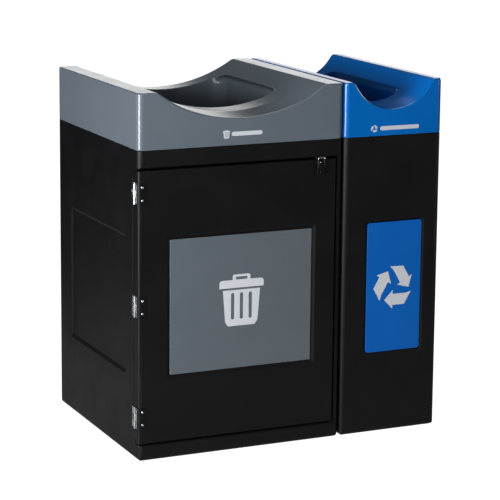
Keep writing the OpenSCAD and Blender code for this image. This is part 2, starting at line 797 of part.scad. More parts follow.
module latch_lever()
    color(steel_black) placed()
        translate([latch_x - lever_half, 0, 0])
            difference() {
                union() {
                    translate([0, pivot_y, latch_z]) rod_x(lever_eye_r, 2 * lever_half);
                    translate([0, bail_y, bail_z]) rod_x(lever_boss_r, 2 * lever_half);
                    along_x(2 * lever_half)
                        polygon([
                            [pivot_y - 3.4, latch_z + 1], [pivot_y + 1, latch_z - 3.4],
                            [bail_y + 1.6, bail_z - 2.2], [bail_y + 1.2, latch_z - 20],
                            [bail_y - 1.6, latch_z - 27], [bail_y - lever_lip, latch_z - 27],
                            [bail_y - 1.4, latch_z - 19], [bail_y - 2.6, bail_z]
                        ]);
                }
                translate([-over, pivot_y, latch_z]) rod_x(latch_pin_r + run_gap, 2 * lever_half + 2 * over);
                translate([-over, bail_y, bail_z]) rod_x(bail_end_r + run_gap, 2 * lever_half + 2 * over);
            }

module latch_bail() {
    rise = bar_z - bail_z;
    lean = bar_y - bail_y;
    length = sqrt(rise * rise + lean * lean);
    color(zinc) placed()
        translate([latch_x, 0, 0]) {
            translate([-bail_half - bail_wire_r, bar_y, bar_z])
                rod_x(bail_bar_r, 2 * (bail_half + bail_wire_r));
            for (s = [0, 1]) mirror([s, 0, 0]) {
                translate([bail_half, bail_y, bail_z]) {
                    rotate([-atan2(lean, rise), 0, 0]) cylinder(r = bail_wire_r, h = length);
                    sphere(r = bail_wire_r);
                }
                translate([bail_end_in, bail_y, bail_z]) rod_x(bail_end_r, bail_half - bail_end_in);
            }
        }
}

module latch_screws()
    color(zinc) placed()
        for (s = [-1, 1])
            translate([latch_x, -leaf_t, latch_base_z + s * latch_screw_dz]) {
                rod_y(screw_r, leaf_t + latch_screw_l - 1.5 * over);
                translate([0, -latch_screw_head, 0]) rod_y(1.6 * screw_r, latch_screw_head);
            }

module latch_keeper()
    color(steel_black) placed()
        difference() {
            union() {
                translate([latch_x - keeper_w / 2, keeper_front, header_z - 2 * keeper_t])
                    cube([keeper_w, keeper_back - keeper_front, keeper_t]);
                translate([latch_x - keeper_lip_w / 2, keeper_lip_y, header_z - 2 * keeper_t])
                    cube([keeper_lip_w, keeper_front - keeper_lip_y + over, keeper_t]);
                translate([latch_x - keeper_w / 2, keeper_pad_y, header_z - keeper_t])
                    cube([keeper_w, keeper_back - keeper_pad_y, keeper_t]);
            }
            for (side = [-1, 1])
                translate([latch_x + side * keeper_screw_x, keeper_screw_y, header_z - 2 * keeper_t - over])
                    cylinder(r = screw_r + run_gap, h = 2 * keeper_t + 2 * over);
        }

module keeper_screws()
    color(zinc) placed()
        for (side = [-1, 1])
            translate([latch_x + side * keeper_screw_x, keeper_screw_y, header_z - 2 * keeper_t])
                cylinder(r = screw_r, h = 2 * keeper_t + wall + 2);

// ---- recycling unit ----

module recycle_body()
    color(plastic_black) placed()
        difference() {
            translate([recycle_x, 0, 0]) cabinet(recycle_w, wall + slot_deep, recycle_rim, 0);
            translate([recycle_sign_x, 0, sign_z])
                front_pocket(recycle_sign_w + 2 * slot_margin, sign_h + 2 * slot_margin, slot_deep,
                    slot_bevel, recycle_sign_r);
            hood_hinge_places(false) translate([0, -2 * wall, 0]) rod_y(screw_r, 2 * wall + over);
        }

module recycle_hood()
    color(plastic_blue) placed()
        difference() {
            translate([recycle_x, 0, body_h])
                hood(recycle_w, recycle_flat, recycle_throat, recycle_throat_front, recycle_throat_r);
            hood_hinge_places(true) translate([0, -2 * wall, 0]) rod_y(screw_r, 2 * wall + over);
        }

module recycle_sign()
    color(plastic_blue) placed() translate([recycle_sign_x, 0, sign_z]) sign(recycle_sign_w, recycle_sign_r);

module recycle_sign_tapes()
    color(steel_black) placed() translate([recycle_sign_x, 0, sign_z]) tapes(recycle_sign_w);

module recycle_sign_icon()
    color(print_white) placed() translate([recycle_sign_x, 0, sign_z]) film() loop_mark(sign_loop);

module recycle_hood_icon()
    color(print_white) placed()
        translate([recycle_x + recycle_w / 2, 0, body_h + recycle_mark_z]) film() {
            translate([-recycle_bar_w / 2, 0]) loop_mark(hood_mark);
            translate([hood_mark / 2 + mark_gap, 0]) bar_mark(recycle_bar_w, bar_h);
        }

module recycle_liner()
    color(liner_grey) placed()
        translate([recycle_x + recycle_rim + recycle_liner_gap, wall + slot_deep + recycle_liner_end,
            liner_z])
            liner(recycle_liner_w, recycle_liner_d, recycle_draft);

module hood_hinge_leaves_body()
    color(steel_black) placed() hood_leaf(outer_knuckles(hood_hinge_l), false);

module hood_hinge_leaves_hood()
    color(steel_black) placed() hood_leaf(middle_knuckle(hood_hinge_l), true);

module hood_hinge_pins()
    color(zinc) placed() for (i = [0, 1]) hood_hinge_at(i) hinge_pin(hood_hinge_l);

module hood_hinge_screws_body()
    color(zinc) placed() hood_hinge_places(false)
        translate([0, leaf_t, 0]) mirror([0, 1, 0]) pan_screw_y(leaf_t + wall + screw_end - over);

module hood_hinge_screws_hood()
    color(zinc) placed() hood_hinge_places(true)
        translate([0, leaf_t, 0]) mirror([0, 1, 0]) pan_screw_y(leaf_t + hood_wall + over);

// ---- joint between the units ----

module joining_bolts()
    color(zinc) placed()
        for (y = bolt_y, z = bolt_z) translate([trash_w - wall - bolt_head, y, z]) {
            rod_x(joint_bolt_r, bolt_head + 2 * wall + unit_gap + bolt_end);
            rotate([0, 90, 0]) cylinder(r = hex_r, h = bolt_head, $fn = 6);
        }

module joining_nuts()
    color(zinc) placed()
        for (y = bolt_y, z = bolt_z) translate([recycle_x + wall, y, z])
            difference() {
                rotate([0, 90, 0]) cylinder(r = hex_r, h = nut_t, $fn = 6);
                translate([-over, 0, 0]) rod_x(joint_bolt_r, nut_t + 2 * over);
            }

module joining_spacers()
    color(steel_black) placed()
        for (y = bolt_y, z = bolt_z) translate([trash_w, y, z])
            difference() {
                rod_x(spacer_r, unit_gap);
                translate([-over, 0, 0]) rod_x(joint_bolt_r + bolt_gap, unit_gap + 2 * over);
            }

trash_body();
trash_hood();
trash_door();
trash_sign();
trash_sign_tapes();
trash_sign_icon();
trash_hood_icon();
trash_liner();
hood_screws();
door_hinge_leaves_door();
door_hinge_leaves_body();
door_hinge_pins();
door_screws();
body_screws();
latch_base();
latch_pin();
latch_lever();
latch_bail();
latch_screws();
latch_keeper();
keeper_screws();
recycle_body();
recycle_hood();
recycle_sign();
recycle_sign_tapes();
recycle_sign_icon();
recycle_hood_icon();
recycle_liner();
hood_hinge_leaves_body();
hood_hinge_leaves_hood();
hood_hinge_pins();
hood_hinge_screws_body();
hood_hinge_screws_hood();
joining_bolts();
joining_nuts();
joining_spacers();
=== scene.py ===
import json
import math

import bmesh
import bpy
import numpy as np
from mathutils import Matrix, Vector


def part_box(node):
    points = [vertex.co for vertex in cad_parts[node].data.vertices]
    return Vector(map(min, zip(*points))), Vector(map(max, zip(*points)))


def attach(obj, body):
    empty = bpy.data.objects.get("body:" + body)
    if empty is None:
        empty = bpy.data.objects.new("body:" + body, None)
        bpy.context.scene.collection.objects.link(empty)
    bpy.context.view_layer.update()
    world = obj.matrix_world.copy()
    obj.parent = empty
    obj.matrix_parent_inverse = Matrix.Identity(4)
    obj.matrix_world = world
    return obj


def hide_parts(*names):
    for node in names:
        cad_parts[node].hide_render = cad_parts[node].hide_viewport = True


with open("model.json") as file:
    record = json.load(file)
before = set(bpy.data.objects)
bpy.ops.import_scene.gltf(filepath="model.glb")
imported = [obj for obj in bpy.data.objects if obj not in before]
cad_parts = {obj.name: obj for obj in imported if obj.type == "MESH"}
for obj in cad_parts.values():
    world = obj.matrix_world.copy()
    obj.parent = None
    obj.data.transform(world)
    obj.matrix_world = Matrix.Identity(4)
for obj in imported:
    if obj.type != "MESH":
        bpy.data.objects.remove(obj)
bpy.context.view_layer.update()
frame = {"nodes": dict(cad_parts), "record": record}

mm = 0.001
bodyOfNode = {node: body for body, nodes in frame["record"]["behaviour"]["bodies"].items() for node in nodes}
scene = bpy.context.scene
scene.view_settings.view_transform = "Standard"
print("frame loaded:", len(frame["nodes"]), "nodes")


cameraSet = {
    "place": (-2.5464, -5.5586, 1.831),  # metres
    "yaw": 0.425,  # radians from +Y towards +X
    "pitch": 0.182,  # radians below the horizon
    "roll": 0.008,
    "lens": 146.94,  # millimetres, as is the sensor's width
    "sensor": 36,
    "shift": (0.0276, -0.12),
    "reach": 200,
}


def makeCamera(c):
    # the view axis from yaw and pitch, then right and up turned about it by the roll
    yaw, pitch, roll = c["yaw"], c["pitch"], c["roll"]
    forward = Vector((math.sin(yaw) * math.cos(pitch), math.cos(yaw) * math.cos(pitch), -math.sin(pitch)))
    level = Vector((math.cos(yaw), -math.sin(yaw), 0))
    upright = level.cross(forward)
    right = math.cos(roll) * level + math.sin(roll) * upright
    up = math.cos(roll) * upright - math.sin(roll) * level
    lens = bpy.data.cameras.new("viewCamera")
    lens.lens, lens.sensor_width = c["lens"], c["sensor"]
    lens.shift_x, lens.shift_y = c["shift"]
    lens.clip_end = c["reach"]
    camera = bpy.data.objects.new("viewCamera", lens)
    turned = Matrix((right, up, -forward)).transposed()
    camera.matrix_world = Matrix.Translation(c["place"]) @ turned.to_4x4()
    scene.collection.objects.link(camera)
    scene.camera = camera


makeCamera(cameraSet)


def linearColour(hexText):
    # sRGB hex to linear light: a short straight toe, then the 2.4 power curve
    share = np.array([int(hexText[i:i + 2], 16) for i in (1, 3, 5)]) / 255
    linear = np.where(share <= 0.04045, share / 12.92, ((share + 0.055) / 1.055) ** 2.4)
    return (*linear, 1.0)


def addNode(tree, kind, settings=None, links=None):
    # one node, with its sockets and properties set and its inputs joined to other nodes' outputs
    node = tree.nodes.new(kind)
    for name, value in (settings or {}).items():
        if isinstance(name, int) or name in node.inputs:
            node.inputs[name].default_value = value
        else:
            setattr(node, name, value)
    for name, source in (links or {}).items():
        tree.links.new(source, node.inputs[name])
    return node


def newMaterial(name):
    material = bpy.data.materials.new(name)
    material.use_nodes = True
    material.node_tree.nodes.clear()
    return material, material.node_tree


# what all the moulded finishes share: long thin scuffs, the stretch of each pattern over which scuffs,
# rubbed edges and patches come in, and how deep the slow wave and the grain are
skinSet = {
    "scuffStretch": (60, 60, 4), "scuffTurn": (0.25, 0.4, 0.1), "scuffScale": 2.2, "scuffShow": (0.62, 0.78),
    "edgeShow": (0.56, 0.66), "patchShow": (0.3, 0.7), "waveDeepMm": 1.2, "grainDeepMm": 0.12,
}


def mouldedPlastic(name, p):
    # Moulded plastic: a base colour with slow patches from uneven cooling, a fine leather-like grain
    # from the mould, faint long scuffs, and edges that hands have rubbed lighter
    s = skinSet
    material, tree = newMaterial(name)
    place = addNode(tree, "ShaderNodeTexCoord").outputs["Object"]
    patches = addNode(tree, "ShaderNodeTexNoise",
                      {"Scale": 1 / (p["patchMm"] * mm), "Detail": 4.0, "Roughness": 0.55}, {"Vector": place})
    grain = addNode(tree, "ShaderNodeTexNoise",
                    {"Scale": 1 / (p["grainMm"] * mm), "Detail": 2.0, "Roughness": 0.5}, {"Vector": place})
    wave = addNode(tree, "ShaderNodeTexNoise",
                   {"Scale": 1 / (p["waveMm"] * mm), "Detail": 1.0}, {"Vector": place})
    along = addNode(tree, "ShaderNodeMapping",
                    {"Scale": s["scuffStretch"], "Rotation": s["scuffTurn"]}, {"Vector": place})
    scuffs = addNode(tree, "ShaderNodeTexNoise", {"Scale": s["scuffScale"], "Detail": 3.0, "Roughness": 0.65},
                     {"Vector": along.outputs[0]})
    scuffMask = addNode(tree, "ShaderNodeMapRange",
                        {"From Min": s["scuffShow"][0], "From Max": s["scuffShow"][1], "To Max": p["scuff"]},
                        {"Value": scuffs.outputs[0]})
    corners = addNode(tree, "ShaderNodeNewGeometry").outputs["Pointiness"]
    edges = addNode(tree, "ShaderNodeMapRange",
                    {"From Min": s["edgeShow"][0], "From Max": s["edgeShow"][1], "To Max": p["edgeRub"]},
                    {"Value": corners})
    worn = addNode(tree, "ShaderNodeMath", {"operation": "MAXIMUM"},
                   {0: scuffMask.outputs[0], 1: edges.outputs[0]})
    tint = addNode(tree, "ShaderNodeMix",
                   {"data_type": "RGBA", 6: linearColour(p["colour"]), 7: linearColour(p["patchColour"])},
                   {0: patches.outputs[0]})
    colour = addNode(tree, "ShaderNodeMix", {"data_type": "RGBA", 7: linearColour(p["wornColour"])},
                     {0: worn.outputs[0], 6: tint.outputs[2]})
    rough = addNode(tree, "ShaderNodeMapRange",
                    {"From Min": s["patchShow"][0], "From Max": s["patchShow"][1],
                     "To Min": p["rough"][0], "To Max": p["rough"][1]}, {"Value": patches.outputs[0]})
    slow = addNode(tree, "ShaderNodeBump", {"Strength": p["waveStrength"], "Distance": s["waveDeepMm"] * mm},
                   {"Height": wave.outputs[0]})
    fine = addNode(tree, "ShaderNodeBump",
                   {"Strength": p["grainStrength"], "Distance": s["grainDeepMm"] * mm},
                   {"Height": grain.outputs[0], "Normal": slow.outputs[0]})
    shader = addNode(tree, "ShaderNodeBsdfPrincipled",
                     {"IOR": p["ior"], "Specular IOR Level": p["specular"]},
                     {"Base Color": colour.outputs[2], "Roughness": rough.outputs[0],
                      "Normal": fine.outputs[0]})
    addNode(tree, "ShaderNodeOutputMaterial", {}, {"Surface": shader.outputs[0]})
    return material


# black rotomoulded polyethylene: deep satin black, a soft sheen and a pebbled skin
cabinetBlack = mouldedPlastic("blackPolyethylene", {
    "colour": "#08080a", "patchColour": "#0c0c0d", "wornColour": "#2a2b2d", "patchMm": 120, "grainMm": 1.6,
    "waveMm": 70, "waveStrength": 0.25, "grainStrength": 0.5, "scuff": 0.10, "edgeRub": 0.5,
    "rough": (0.44, 0.54), "ior": 1.5, "specular": 0.22})
# the door is moulded from the same black, with a slightly flatter skin
doorBlack = mouldedPlastic("blackDoorPolyethylene", {
    "colour": "#08080a", "patchColour": "#0c0c0d", "wornColour": "#2a2b2d", "patchMm": 150, "grainMm": 1.6,
    "waveMm": 80, "waveStrength": 0.2, "grainStrength": 0.45, "scuff": 0.10, "edgeRub": 0.5,
    "rough": (0.44, 0.54), "ior": 1.5, "specular": 0.22})
# slate grey ABS with a polished mould: even colour and a clear gloss at low angles
hoodGrey = mouldedPlastic("slateGreyAbs", {
    "colour": "#5a636c", "patchColour": "#616a73", "wornColour": "#7b838b", "patchMm": 140, "grainMm": 0.9,
    "waveMm": 90, "waveStrength": 0.03, "grainStrength": 0.02, "scuff": 0.10, "edgeRub": 0.25,
    "rough": (0.17, 0.22), "ior": 1.5, "specular": 0.5})
# signal blue ABS from the same kind of mould
hoodBlue = mouldedPlastic("signalBlueAbs", {
    "colour": "#0060b0", "patchColour": "#0466b8", "wornColour": "#3f86c8", "patchMm": 140, "grainMm": 0.9,
    "waveMm": 90, "waveStrength": 0.03, "grainStrength": 0.02, "scuff": 0.10, "edgeRub": 0.25,
    "rough": (0.17, 0.22), "ior": 1.5, "specular": 0.5})
# the signs are matt rigid PVC sheet, dyed through, with the faint stipple of an extruded sheet
signGrey = mouldedPlastic("greyPvcSheet", {
    "colour": "#525a61", "patchColour": "#586067", "wornColour": "#737b82", "patchMm": 90, "grainMm": 0.7,
    "waveMm": 60, "waveStrength": 0.04, "grainStrength": 0.15, "scuff": 0.12, "edgeRub": 0.3,
    "rough": (0.42, 0.50), "ior": 1.53, "specular": 0.4})
signBlue = mouldedPlastic("bluePvcSheet", {
    "colour": "#0057a9", "patchColour": "#005db2", "wornColour": "#367fc0", "patchMm": 90, "grainMm": 0.7,
    "waveMm": 60, "waveStrength": 0.04, "grainStrength": 0.15, "scuff": 0.12, "edgeRub": 0.3,
    "rough": (0.42, 0.50), "ior": 1.53, "specular": 0.2})
# white cast vinyl: slightly cool, matt, with a hint of the sheet's own stipple
filmWhite = mouldedPlastic("whiteCastVinyl", {
    "colour": "#c2c6cd", "patchColour": "#cacdd3", "wornColour": "#babec4", "patchMm": 40, "grainMm": 0.5,
    "waveMm": 30, "waveStrength": 0.03, "grainStrength": 0.12, "scuff": 0.15, "edgeRub": 0.0,
    "rough": (0.40, 0.48), "ior": 1.46, "specular": 0.4})
# the liners are dark grey linear polyethylene, waxy and a little scuffed inside
linerGrey = mouldedPlastic("darkGreyPolyethylene", {
    "colour": "#2c2f32", "patchColour": "#34373a", "wornColour": "#505458", "patchMm": 80, "grainMm": 1.4,
    "waveMm": 60, "waveStrength": 0.3, "grainStrength": 0.5, "scuff": 0.35, "edgeRub": 0.5,
    "rough": (0.42, 0.55), "ior": 1.5, "specular": 0.4})
# closed-cell foam tape: matt charcoal with open pores on its cut edge
foamBlack = mouldedPlastic("closedCellFoam", {
    "colour": "#18191a", "patchColour": "#232425", "wornColour": "#2e2f31", "patchMm": 6, "grainMm": 0.5,
    "waveMm": 4, "waveStrength": 0.5, "grainStrength": 1.0, "scuff": 0.2, "edgeRub": 0.2,
    "rough": (0.85, 0.95), "ior": 1.45, "specular": 0.2})
# black powder coat on steel: fine orange peel, a soft gloss and rubbed corners
coatBlack = mouldedPlastic("blackPowderCoat", {
    "colour": "#070708", "patchColour": "#0b0b0c", "wornColour": "#4a4c4f", "patchMm": 20, "grainMm": 0.8,
    "waveMm": 12, "waveStrength": 0.1, "grainStrength": 0.35, "scuff": 0.1, "edgeRub": 0.7,
    "rough": (0.42, 0.52), "ior": 1.5, "specular": 0.2})


def rubbedCoat(name, coat, p):
    # The same powder coat, rubbed through to bare zinc past one place along an axis, where the part
    # turns or bears. Fine noise breaks up the line between the two
    material = coat.copy()
    material.name = name
    tree = material.node_tree
    shader = next(node for node in tree.nodes if node.type == "BSDF_PRINCIPLED")
    place = addNode(tree, "ShaderNodeTexCoord").outputs["Object"]
    split = addNode(tree, "ShaderNodeSeparateXYZ", {}, {"Vector": place})
    speckle = addNode(tree, "ShaderNodeTexNoise",
                      {"Scale": 1 / (p["speckleMm"] * mm), "Detail": 2.0}, {"Vector": place})
    bare = addNode(tree, "ShaderNodeMapRange", {"From Min": p["coated"] * mm, "From Max": p["bare"] * mm},
                   {"Value": split.outputs[p["axis"]]})
    ragged = addNode(tree, "ShaderNodeMath", {"operation": "MULTIPLY_ADD", 1: p["push"]},
                     {0: bare.outputs[0], 2: speckle.outputs[0]})
    mask = addNode(tree, "ShaderNodeMapRange", {"From Min": p["show"][0], "From Max": p["show"][1]},
                   {"Value": ragged.outputs[0]})
    coatColour = shader.inputs["Base Color"].links[0].from_socket
    coatRough = shader.inputs["Roughness"].links[0].from_socket
    colour = addNode(tree, "ShaderNodeMix", {"data_type": "RGBA", 7: linearColour(p["zinc"])},
                     {0: mask.outputs[0], 6: coatColour})
    rough = addNode(tree, "ShaderNodeMix", {"data_type": "FLOAT", 3: p["bareRough"]},
                    {0: mask.outputs[0], 2: coatRough})
    tree.links.new(colour.outputs[2], shader.inputs["Base Color"])
    tree.links.new(rough.outputs[0], shader.inputs["Roughness"])
    tree.links.new(mask.outputs[0], shader.inputs["Metallic"])
    return material


rubbedSet = {
    "speckleMm": 1.5, "zinc": "#d5d8dc", "bareRough": 0.3,
    "push": 1.3, "show": (0.75, 1.05),  # how much the place counts beside the speckle, and where zinc shows
    "hingeFade": (0.6, 1.4), "bailFade": (7, 5),  # where coat ends and zinc is bare, mm short of each line
}
# the door hinges' knuckles stand left of the door, and hands and carts have rubbed them bare
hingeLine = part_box("door_hinge_pins")[1].x / mm
coated, bare = (hingeLine - fade for fade in rubbedSet["hingeFade"])
hingeCoat = rubbedCoat("rubbedHingeCoat", coatBlack, dict(rubbedSet, axis="X", coated=coated, bare=bare))
# the bail's bar wears bright where it bears on the keeper, above the door's top
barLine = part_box("latch_bail")[1].z / mm
coated, bare = (barLine - fade for fade in rubbedSet["bailFade"])
bailCoat = rubbedCoat("rubbedBailCoat", coatBlack, dict(rubbedSet, axis="Z", coated=coated, bare=bare))


def zincPlate(name, p):
    # Bright zinc plate: cold metal with fine drawn lines, small crystal patches and dull spots
    material, tree = newMaterial(name)
    place = addNode(tree, "ShaderNodeTexCoord").outputs["Object"]
    drawn = addNode(tree, "ShaderNodeMapping", {"Scale": p["drawn"]}, {"Vector": place})
    lines = addNode(tree, "ShaderNodeTexNoise", {"Scale": 1 / (p["lineMm"] * mm), "Detail": 3.0},
                    {"Vector": drawn.outputs[0]})
    crystals = addNode(tree, "ShaderNodeTexVoronoi", {"Scale": 1 / (p["crystalMm"] * mm)}, {"Vector": place})
    colour = addNode(tree, "ShaderNodeMix",
                     {"data_type": "RGBA", 6: linearColour(p["colour"]), 7: linearColour(p["dull"])},
                     {0: crystals.outputs["Distance"]})
    rough = addNode(tree, "ShaderNodeMapRange", {"To Min": p["rough"][0], "To Max": p["rough"][1]},
                    {"Value": lines.outputs[0]})
    bump = addNode(tree, "ShaderNodeBump", {"Strength": p["bump"], "Distance": p["deepMm"] * mm},
                   {"Height": lines.outputs[0]})
    shader = addNode(tree, "ShaderNodeBsdfPrincipled", {"Metallic": 1.0},
                     {"Base Color": colour.outputs[2], "Roughness": rough.outputs[0],
                      "Normal": bump.outputs[0]})
    addNode(tree, "ShaderNodeOutputMaterial", {}, {"Surface": shader.outputs[0]})
    return material


# zinc-plated steel: bright, slightly blue, with fine lines from drawing
zincSteel = zincPlate("zincPlatedSteel", {
    "colour": "#d3d6da", "dull": "#a9adb2", "rough": (0.22, 0.40), "drawn": (1, 1, 0.15), "lineMm": 0.6,
    "crystalMm": 2.5, "bump": 0.25, "deepMm": 0.05})

print("materials made")


meshSet = {"weldMm": 0.01, "poleMm": 0.002, "flatAngle": 0.3, "sharpAngle": 20}  # millimetres and degrees


def addPiece(name, mesh, material, node):
    # a piece that stands for one CAD node and rides on its body
    piece = bpy.data.objects.new(name, mesh)
    scene.collection.objects.link(piece)
    mesh.materials.clear()
    mesh.materials.append(material)
    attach(piece, bodyOfNode[node])
    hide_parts(node)
    return piece


def gridMesh(name, points, closedAcross=True):
    # points[..., i, j] is the surface at step i round the form and step j along its profile. The form is
    # closed round, and across too if closedAcross. Each cell of the grid is one four-sided face, and a
    # leading axis holds copies of the form
    around, across = points.shape[-3:-1]
    points = points.reshape(-1, around, across, 3)
    copy, i, j = np.meshgrid(np.arange(len(points)), np.arange(around),
                             np.arange(across if closedAcross else across - 1), indexing="ij")
    start, nextI, nextJ = copy * around * across, (i + 1) % around, (j + 1) % across
    corners = [start + i * across + j, start + nextI * across + j,
               start + nextI * across + nextJ, start + i * across + nextJ]
    mesh = bpy.data.meshes.new(name)
    mesh.from_pydata(points.reshape(-1, 3).tolist(), [], np.stack(corners, axis=-1).reshape(-1, 4).tolist())
    mesh.polygons.foreach_set("use_smooth", np.ones(len(mesh.polygons), dtype=bool))
    mesh.update()
    return mesh


def closePoles(mesh):
    # joins the points that meet at a pole and turns every face outwards
    shape = bmesh.new()
    shape.from_mesh(mesh)
    bmesh.ops.remove_doubles(shape, verts=shape.verts, dist=meshSet["poleMm"] * mm)
    bmesh.ops.recalc_face_normals(shape, faces=shape.faces)
    shape.to_mesh(mesh)
    shape.free()


def finerCopy(name, node, material, edgeMm, segments):
    # the CAD node's mesh with its corners merged and flat faces joined, and every sharp edge rounded
    shape = bmesh.new()
    shape.from_mesh(frame["nodes"][node].data)
    bmesh.ops.remove_doubles(shape, verts=shape.verts, dist=meshSet["weldMm"] * mm)
    flat, sharp = math.radians(meshSet["flatAngle"]), math.radians(meshSet["sharpAngle"])
    bmesh.ops.dissolve_limit(shape, angle_limit=flat, verts=shape.verts, edges=shape.edges)
    mesh = bpy.data.meshes.new(name)
    shape.to_mesh(mesh)
    shape.free()
    mesh.polygons.foreach_set("use_smooth", np.ones(len(mesh.polygons), dtype=bool))
    mesh.set_sharp_from_angle(angle=sharp)
    piece = addPiece(name, mesh, material, node)
    rounding = piece.modifiers.new("rounding", "BEVEL")
    rounding.width, rounding.segments = edgeMm * mm, segments
    rounding.limit_method, rounding.angle_limit = "ANGLE", sharp
    rounding.use_clamp_overlap, rounding.harden_normals = False, True


greyHoodSet = {
    "flat": 58.5, "scoop": 77, "shoulder": 20,  # flat strips, depth of the valley, radius over its edges
    "throatInset": 121.5, "throatFront": 185, "throatBack": 68, "throatCorner": 45,
    "corner": 16, "topEdge": 5, "lowEdge": 3, "wall": 5, "chuteLow": 5,
    "lip": 5, "lipLow": 1.4,  # radius of the throat's lip, and how far its front leans down to it
    "bandLow": 6.5, "bandEnd": 92, "bandBend": 0.06,  # the front band leans forward, and ends in a bend
    "bandSpread": 0.35, "bandMost": 1.05,  # share of the valley over which the band fades in, and its limit
    "lipReach": 60,  # the lean of the throat's front ends this far behind the lip
    "tuck": 2.5, "underDrop": 6,  # how the underside meets the chute
}
blueHoodSet = dict(greyHoodSet, flat=32, shoulder=15, throatInset=69, throatFront=137, throatCorner=30,
                   bandEnd=80)
# how many steps each stretch has, and the shares at which rings stand. Rings close to an end keep the
# shading of the round beside it off the flat
hoodSteps = {
    "corner": 14, "front": 200, "side": 90, "top": 40, "fillet": 8, "lowFillet": 4, "chute": 6,
    "topEnds": (0.006, 0.994), "outside": (0.01, 0.35, 0.7, 0.99), "inside": (0, 0.02, 0.4, 0.98, 1),
    "chuteBack": (0, 0.5, 1),
}


def loopAround(x, y, radius, steps):
    # a rectangle with round corners seen from above, anticlockwise from its front right corner. Each
    # corner is an arc about its own centre, joined by straight runs. Gives points and outward normals
    turn = np.linspace(0, 1, steps["corner"])
    centres = np.array([(x[1], y[0]), (x[1], y[1]), (x[0], y[1]), (x[0], y[0])])
    centres = centres + radius * np.array([(-1, 1), (-1, -1), (1, -1), (1, 1)])
    runs = [steps["side"], steps["front"], steps["side"], steps["front"]]
    points, normals = [], []
    for k in range(4):
        angle = (k - 1 + turn) * math.pi / 2
        arc = np.stack([np.cos(angle), np.sin(angle)], axis=-1)
        nextStart = centres[(k + 1) % 4] + radius * arc[-1]
        share = np.linspace(0, 1, runs[k] + 2)[1:-1, None]
        end = centres[k] + radius * arc[-1]
        points += [centres[k] + radius * arc, end + share * (nextStart - end)]
        normals += [arc, np.repeat(arc[-1:], runs[k], axis=0)]
    return np.concatenate(points), np.concatenate(normals)


def scoopHeight(x, y, middle, top, h):
    # height of the hood over a point: flat strips, an arc for the valley, a tangent arc over each
    # shoulder, and in the valley a front band that leans forward up to a soft bend
    half = middle - h["flat"]
    arcRadius = (half ** 2 + h["scoop"] ** 2) / (2 * h["scoop"])
    arcCentre = top - h["scoop"] + arcRadius
    overCentre = top - h["shoulder"]
    over = math.sqrt((arcRadius + h["shoulder"]) ** 2 - (arcCentre - overCentre) ** 2)
    touch = over * arcRadius / (arcRadius + h["shoulder"])
    away = np.abs(x - middle)
    valley = arcCentre - np.sqrt(arcRadius ** 2 - np.minimum(away, touch) ** 2)
    shoulder = overCentre + np.sqrt(h["shoulder"] ** 2 - np.clip(away - over, -h["shoulder"], 0) ** 2)
    height = np.where(away < touch, valley, np.where(away < over, shoulder, top))
    inValley = np.clip((over - away) / (h["bandSpread"] * over), 0, 1)
    inValley = inValley ** 2 * (3 - 2 * inValley)
    lean = (h["bandEnd"] - y) / (h["bandEnd"] - h["topEdge"])
    front = (np.sqrt(lean ** 2 + h["bandBend"] ** 2) + lean) / 2
    nearFront = y < h["throatFront"] + h["lipReach"]
    back = np.clip((y - h["bandEnd"]) / (h["throatFront"] - h["bandEnd"]), 0, 1) * nearFront
    return height - inValley * (h["bandLow"] * np.minimum(front, h["bandMost"]) + h["lipLow"] * back)


